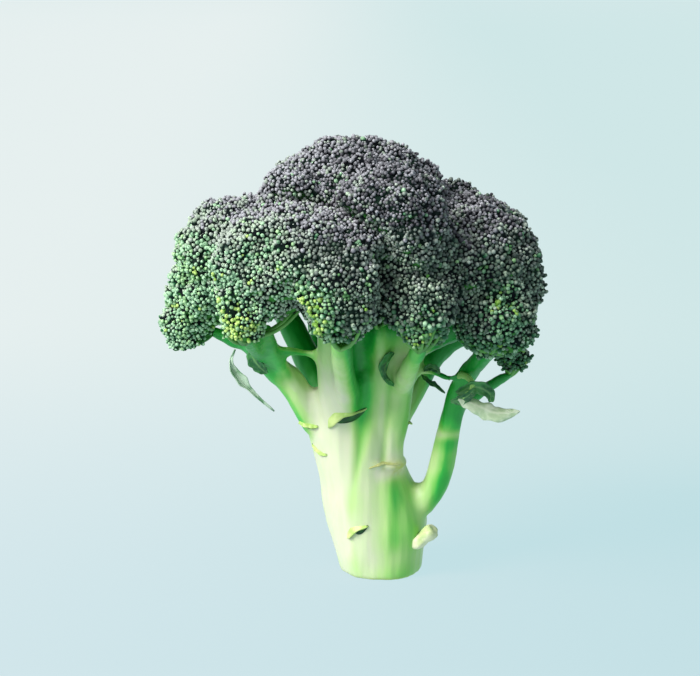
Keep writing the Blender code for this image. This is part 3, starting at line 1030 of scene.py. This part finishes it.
def makeFlap(name, shape, skin, materials):
    points = [Vector(p) * mm for p in shape["line"]]
    start, end, tall = shape["gap"]
    lip, slit = flapForm["lip"], flapForm["slit"]
    shift, *leaning = flapForm["lean"]

    def rooted(u, height):
        target = routeAt(points, u) + Vector((0, 0, height * mm))
        middle = shift * smoothStep(*leaning, target.z)
        inward = Vector((middle - target.x, -target.y, 0)).normalized()
        spot, normal, _, _ = skin.ray_cast(target - inward * 10 * mm, inward)
        return spot, Vector((normal.x, normal.y, flapForm["flatten"] * normal.z)).normalized()

    def rounded(part, u):
        return part["ends"] + (1 - part["ends"]) * max(0.0, math.sin(math.pi * u)) ** part["blunt"]

    def lipPlace(u, w):
        # fast to the trunk along its top edge and standing out along its lower one
        t = (w + 1) / 2
        rise, drop = (max(0.1, amountAt(shape[side], u)) for side in ("rise", "drop"))
        amount, waves = lip["ruffle"]
        out = shape["out"] * rounded(lip, u) * (1 - t) ** lip["curl"] * (1 + amount * math.sin(u * waves))
        spot, normal = rooted(u, (rise + drop) * t - drop)
        return spot + normal * (out - lip["sunk"] * t) * mm

    # a dark sheet in the slit paints the shade under the lip
    def slitPlace(u, w):
        along = slit["inset"] + (1 - 2 * slit["inset"]) * u
        height = slit["top"] - tall * rounded(slit, u) * (1 - w) / 2
        spot, normal = rooted(start + (end - start) * along, height)
        return spot + normal * slit["proud"]

    for part, form, place, look in (("_flap", lip, lipPlace, shape.get("lip", "flap")),
                                    ("_gap", slit, slitPlace, shape.get("inside", "gap"))):
        makeSheet(name + part, form, place, materials[look], "leaf_base", shape.get("node", name))


stubShape = {
    "from": (14, -11.5, 14.2),
    "to": (22.6, -14.5, 22.6),
    "past": 1.6 * mm,                # how far the rounded ends go beyond these
    "radii": [3.6, 4.2, 3.4, 4.7, 4.3],
    "flat": 0.78,
    "lumps": (0.18, 2.6),
    "dip": (2.6 * mm, 2.3 * mm),     # depth and width of the hollow in the cut end
}


def makeStub(materials):
    # the pale stump of a cut leaf low on the right, with a hollowed end
    bm = bmesh.new()
    bmesh.ops.create_uvsphere(bm, u_segments=24, v_segments=16, radius=1.0)
    start, end = Vector(stubShape["from"]) * mm, Vector(stubShape["to"]) * mm
    turn = (end - start).to_track_quat("Z", "Y").to_matrix()
    half = (end - start).length / 2 + stubShape["past"]
    uneven, scale = stubShape["lumps"]
    deep, wide = stubShape["dip"]
    for v in bm.verts:
        height = v.co.z
        # the ball's profile is made fuller, nearer to a barrel's
        full = max(0.0, 1 - abs(height) ** 3.2) ** 0.5 / max(0.05, (1 - height ** 2) ** 0.5)
        radius = amountAt(stubShape["radii"], (height + 1) / 2) * mm
        offset = Vector((v.co.x, v.co.y, height * 0.5)) * scale + Vector((1, 5, 2))
        lump = 1 + uneven * noise.noise(offset)
        v.co.x *= radius * min(full, 1.9) * lump
        v.co.y *= radius * min(full, 1.9) * lump * stubShape["flat"]
        dip = deep * bell(math.hypot(v.co.x, v.co.y), 0, wide) if height > 0 else 0.0
        v.co.z = height * half - dip
        v.co = turn @ v.co + (start + end) / 2
    bmesh.ops.recalc_face_normals(bm, faces=bm.faces)
    stump = fromMesh("right_leaf_stump", bm)
    setValues(stump.data, "vein", [0.0] * len(stump.data.vertices))
    pieceDone(stump, materials["cut stump"], "leaf_base", "right_leaf_stub")


leafStalkLook = {"green": 0.42}


def makeLeafStalk(materials):
    bm = cadMesh(["leaf_stalk"])
    softened(bm, 1)
    curl = fromMesh("leaf_stalk_fine", bm)
    setValues(curl.data, "green", [leafStalkLook["green"]] * len(curl.data.vertices))
    pieceDone(curl, materials["stalk"], "leaf", "leaf_stalk")


def makeLeaves(skin, materials):
    for name, shape in leafShapes.items():
        makeLeaf(name, shape, materials)
    for name, shape in flapShapes.items():
        makeFlap(name, shape, skin, materials)
    makeStub(materials)
    makeLeafStalk(materials)
    print("leaves", len(leafShapes), "bases", len(flapShapes) + 1)


# the fans of fine stems that carry each lobe

fanShape = {
    "stems": 11,
    "thick": (1.15 * mm, 0.92 * mm, 0.6 * mm),   # at the root, half way and under the buds
    "spread": 0.80,
    "reaches": (0.75, 0.3),   # the shortest stem, and how much further the longest goes
    "turns": 0.7,             # how unevenly the stems stand round the lobe
    "sunk": 1.2 * mm,         # how deep the ends go into the branch and the lobe
    "droop": 0.12,
    "start": 12 * mm,         # the search for the buds above begins this far under the lobe's rim
    "reach": 24 * mm,
    "seed": 5,
}


def fanCurve(name, skin, hood, rng):
    low, high = (Vector(corner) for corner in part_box(name))
    middle = (low + high) / 2
    root, normal, _, _ = skin.find_nearest(Vector((middle.x, middle.y, low.z)))
    root = root - normal * fanShape["sunk"]
    curve = bpy.data.curves.new(name + "_fan", "CURVE")
    curve.dimensions = "3D"
    curve.bevel_depth = 1.0
    curve.bevel_resolution = 1
    curve.resolution_u = 5
    curve.use_fill_caps = True
    for i in range(fanShape["stems"]):
        angle = (i + rng.random() * fanShape["turns"]) / fanShape["stems"] * math.tau
        out = fanShape["spread"] * between(fanShape["reaches"], rng.random())
        end = Vector((middle.x + math.cos(angle) * out * (high.x - low.x) / 2,
                      middle.y + math.sin(angle) * out * (high.y - low.y) / 2, low.z))
        spot, _, _, distance = hood.ray_cast(end - Vector((0, 0, fanShape["start"])), Vector((0, 0, 1)))
        if spot is None or distance > fanShape["reach"]:
            continue
        end = spot + Vector((0, 0, fanShape["sunk"]))
        bend = root.lerp(end, 0.5) - Vector((0, 0, fanShape["droop"] * (end - root).length))
        spline = curve.splines.new("BEZIER")
        spline.bezier_points.add(2)
        for point, co, radius in zip(spline.bezier_points, (root, bend, end), fanShape["thick"]):
            point.co = co
            point.radius = radius
            point.handle_left_type = point.handle_right_type = "AUTO"
    return curve


def makeFans(skin, core, materials):
    rng = random.Random(fanShape["seed"])
    bm = bmesh.new()
    bm.from_mesh(core.data)
    hood = treeOf(bm)
    count = 0
    for name in floretNames:
        curve = fanCurve(name, skin, hood, rng)
        count += len(curve.splines)
        if curve.splines:
            bundle = linked(name + "_curves", curve)
            graph = bpy.context.evaluated_depsgraph_get()
            mesh = bpy.data.meshes.new_from_object(bundle.evaluated_get(graph))
            bpy.data.objects.remove(bundle)
            mesh.name = name + "_fan"
            pieceDone(linked(name + "_fan", mesh), materials["stemlet"], "stem", name)
        bpy.data.curves.remove(curve)
    print("fine stems", count)


# stage

stageLook = {
    "radius": 14.0,
    "floor": (0.056, 0.026, 0.022),
    "mottle": (3.0, 0.98),                # scale of the floor's faint patches, and the darker ones' tone
    "roughness": 0.9,
    "specular": 0.0,
    # the floor's own light: on the left, on the right, close by, and far off, where it meets the backdrop
    "glowLeft": (0.672, 0.778, 0.780),
    "glowRight": (0.515, 0.712, 0.720),
    "glowNear": (0.82, 0.92, 0.97),
    "glowFar": (0.590, 0.735, 0.750),
    "glowStrength": 1.07,
    "across": (1.6, 0.5),                 # where the gradients run: share per metre, and at the origin
    "away": (1.33, 0.2),
    "outward": (0.1, 0.32, 0.9),          # share per metre from the middle, and where the far glow runs
    "world": (0.80, 0.94, 1.0),
    "worldStrength": 0.42,
    "backdrop": (0.72, 0.82, 0.83),
    "lamp": (1.0, 0.985, 0.95),
    # strength, spread in degrees and heading
    "lights": {"window": (3.8, 30, (0.72, 0.46, -0.62)), "ceiling": (1.1, 75, (0.45, 0.45, -0.80))},
}


def floorMaterial():
    mat, tree, shader = newMaterial("pale floor")
    scale, darker = stageLook["mottle"]
    tones = [(0.3, stageLook["floor"]), (0.7, tuple(c * darker for c in stageLook["floor"]))]
    setFinish(tree, shader, ramp(tree, objectNoise(tree, scale), tones), stageLook)
    place = tree.nodes.new("ShaderNodeTexCoord").outputs["Object"]
    apart = tree.nodes.new("ShaderNodeSeparateXYZ")
    tree.links.new(place, apart.inputs["Vector"])
    length = tree.nodes.new("ShaderNodeVectorMath")
    length.operation = "LENGTH"
    tree.links.new(place, length.inputs[0])

    def shareAlong(axis, gradient):
        perMetre, origin = gradient
        return maths(tree, "ADD", maths(tree, "MULTIPLY", apart.outputs[axis], perMetre), origin)
    side = ramp(tree, shareAlong("X", stageLook["across"]),
                [(0.0, stageLook["glowLeft"]), (1.0, stageLook["glowRight"])])
    near = ramp(tree, shareAlong("Y", stageLook["away"]), [(0.0, stageLook["glowNear"]), (1.0, grey(1.0))])
    perMetre, *span = stageLook["outward"]
    far = climb(tree, maths(tree, "MULTIPLY", length.outputs["Value"], perMetre), *span)
    glow = mixed(tree, far, mixed(tree, 1.0, side, near, "MULTIPLY"), stageLook["glowFar"])
    tree.links.new(glow, shader.inputs["Emission Color"])
    shader.inputs["Emission Strength"].default_value = stageLook["glowStrength"]
    return mat


def makeFloor():
    bm = bmesh.new()
    bmesh.ops.create_circle(bm, cap_ends=True, segments=64, radius=stageLook["radius"])
    floor = fromMesh("floor", bm)
    floor.data.materials.append(floorMaterial())


def makeWorld():
    # the backdrop that is seen is brighter than the light it gives
    world = bpy.data.worlds.new("studio")
    bpy.context.scene.world = world
    world.use_nodes = True
    sky = world.node_tree
    light = sky.nodes["Background"]
    light.inputs["Color"].default_value = (*stageLook["world"], 1.0)
    light.inputs["Strength"].default_value = stageLook["worldStrength"]
    seen = sky.nodes.new("ShaderNodeBackground")
    seen.inputs["Color"].default_value = (*stageLook["backdrop"], 1.0)
    either = sky.nodes.new("ShaderNodeMixShader")
    sky.links.new(sky.nodes.new("ShaderNodeLightPath").outputs["Is Camera Ray"], either.inputs["Fac"])
    sky.links.new(light.outputs["Background"], either.inputs[1])
    sky.links.new(seen.outputs["Background"], either.inputs[2])
    sky.links.new(either.outputs["Shader"], sky.nodes["World Output"].inputs["Surface"])
    bpy.context.scene.view_settings.view_transform = "Standard"


def makeLights():
    for name, (strength, spread, heading) in stageLook["lights"].items():
        sun = bpy.data.lights.new(name, "SUN")
        sun.energy = strength
        sun.angle = math.radians(spread)
        sun.color = stageLook["lamp"]
        lamp = linked(name, sun)
        lamp.rotation_euler = Vector(heading).to_track_quat("-Z", "Y").to_euler()


view = {
    "distance": 0.95,
    "rise": math.radians(11.5),
    "aim": Vector((-13.8 * mm, 0, 103.5 * mm)),
    "lens": 113.6,
    "sensor": 36.0,
    "clip": 50.0,
}


def makeCamera():
    camera = bpy.data.cameras.new("camera")
    camera.lens = view["lens"]
    camera.sensor_width = view["sensor"]
    camera.clip_end = view["clip"]
    thing = linked("camera", camera)
    ahead = Vector((0, math.cos(view["rise"]), -math.sin(view["rise"])))
    thing.location = view["aim"] - ahead * view["distance"]
    thing.rotation_euler = ahead.to_track_quat("-Z", "Y").to_euler()
    bpy.context.scene.camera = thing


makeCamera()
makeFloor()
makeWorld()
makeLights()
print("stage and camera", len(stageLook["lights"]), "lights")
materials = {
    "bud": budMaterial(),
    "bed": patchyMaterial("dark bed under the buds", bedPaint),
    "stemlet": patchyMaterial("fine stem skin", stemletPaint),
    "stalk": stalkMaterial(),
}
for look, colours in leafPaint.items():
    materials[look] = leafMaterial(look, *colours)
skin = makeStalk(materials)
core = makeFlorets(materials)
makeFans(skin, core, materials)
makeLeaves(skin, materials)
